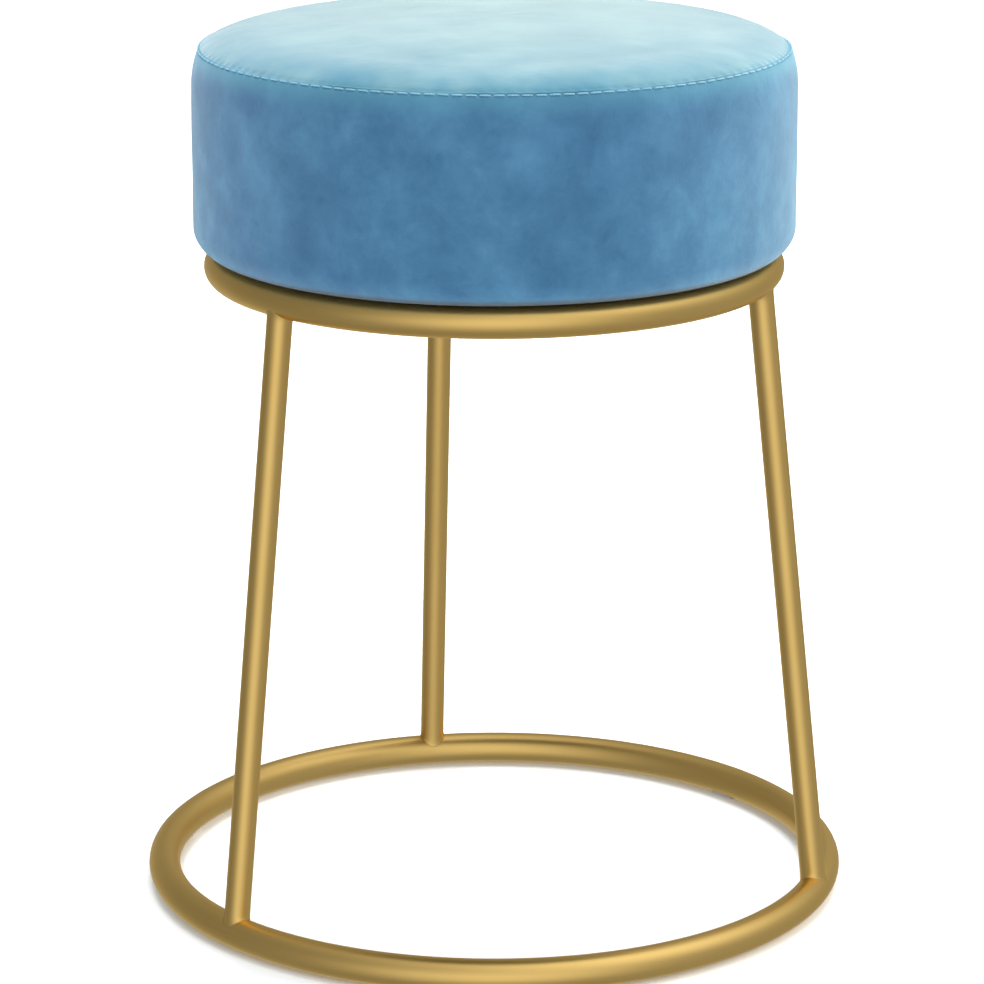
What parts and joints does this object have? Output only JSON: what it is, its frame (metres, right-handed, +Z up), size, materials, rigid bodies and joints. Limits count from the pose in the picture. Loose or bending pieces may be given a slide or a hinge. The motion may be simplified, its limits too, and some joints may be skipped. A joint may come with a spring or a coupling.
{
  "type": "round upholstered stool",
  "caption": "Round stool: a deep velvet drum cushion with a sewn seam, on a welded gold-tone frame of a seat ring, splayed tube legs and a wide floor ring.",
  "frame": {"origin": "on the floor, at the centre of the base ring", "axes": "+Z up, +Y towards the rear leg, +X to the right as seen from the front"},
  "size_m": [0.359, 0.359, 0.45],
  "materials": {
    "gold_metal": "satin gold-tone plating on steel tube, brushed along the tube",
    "velvet": "short-pile velvet in dusty blue, light where it faces up",
    "thread": "pale blue sewing thread",
    "wadding": "white polyester wadding",
    "foam": "cream open-cell foam",
    "plywood": "raw birch plywood",
    "black_cloth": "black non-woven cloth",
    "zinc_steel": "zinc-plated steel",
    "clear_rubber": "milky clear rubber"
  },
  "bodies": {
    "root": {"base_ring": "gold_metal", "seat_ring": "gold_metal", "leg_rear": "gold_metal", "leg_front_left": "gold_metal", "leg_front_right": "gold_metal", "cover_top_panel": "velvet", "cover_side_band": "velvet", "seam_thread": "thread", "wadding": "wadding", "foam_core": "foam", "seat_board": "plywood", "dust_cover": "black_cloth", "staples": "zinc_steel", "seat_tab_front": "gold_metal", "screw_front": "zinc_steel", "washer_front": "zinc_steel", "spring_washer_front": "zinc_steel", "tee_nut_front": "zinc_steel", "floor_pad_front": "clear_rubber", "seat_tab_rear_left": "gold_metal", "screw_rear_left": "zinc_steel", "washer_rear_left": "zinc_steel", "spring_washer_rear_left": "zinc_steel", "tee_nut_rear_left": "zinc_steel", "floor_pad_rear_left": "clear_rubber", "seat_tab_rear_right": "gold_metal", "screw_rear_right": "zinc_steel", "washer_rear_right": "zinc_steel", "spring_washer_rear_right": "zinc_steel", "tee_nut_rear_right": "zinc_steel", "floor_pad_rear_right": "clear_rubber"}
  },
  "joints": []
}
